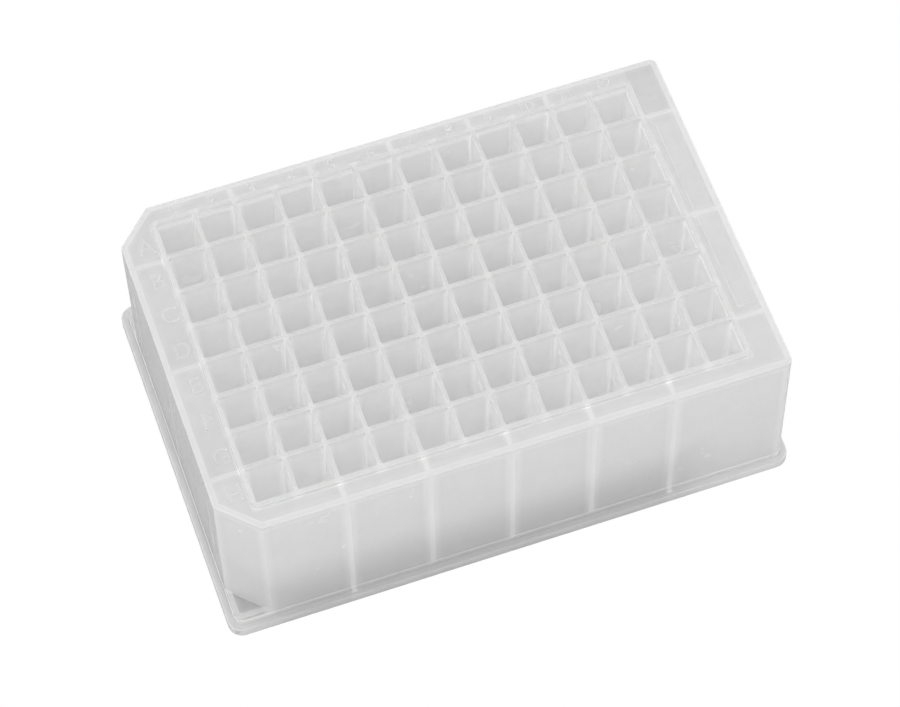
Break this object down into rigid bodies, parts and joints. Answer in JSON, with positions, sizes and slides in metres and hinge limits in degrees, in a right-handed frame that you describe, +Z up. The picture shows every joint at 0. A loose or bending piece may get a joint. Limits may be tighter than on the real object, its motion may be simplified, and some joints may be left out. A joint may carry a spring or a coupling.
{
  "type": "well plate",
  "caption": "Deep-well plate: translucent moulded block of square wells on a standard flanged footprint, with two cut corners that show its orientation.",
  "frame": {"origin": "centre of the footprint on the plane the flange stands on", "axes": "+X along the columns, from the cut corners towards the last column; +Y towards row A; +Z up, out of the wells"},
  "size_m": [0.1278, 0.0854, 0.0432],
  "materials": {
    "natural_polypropylene": "translucent, satin"
  },
  "bodies": {
    "root": {"well_plate": "natural_polypropylene"}
  },
  "joints": []
}
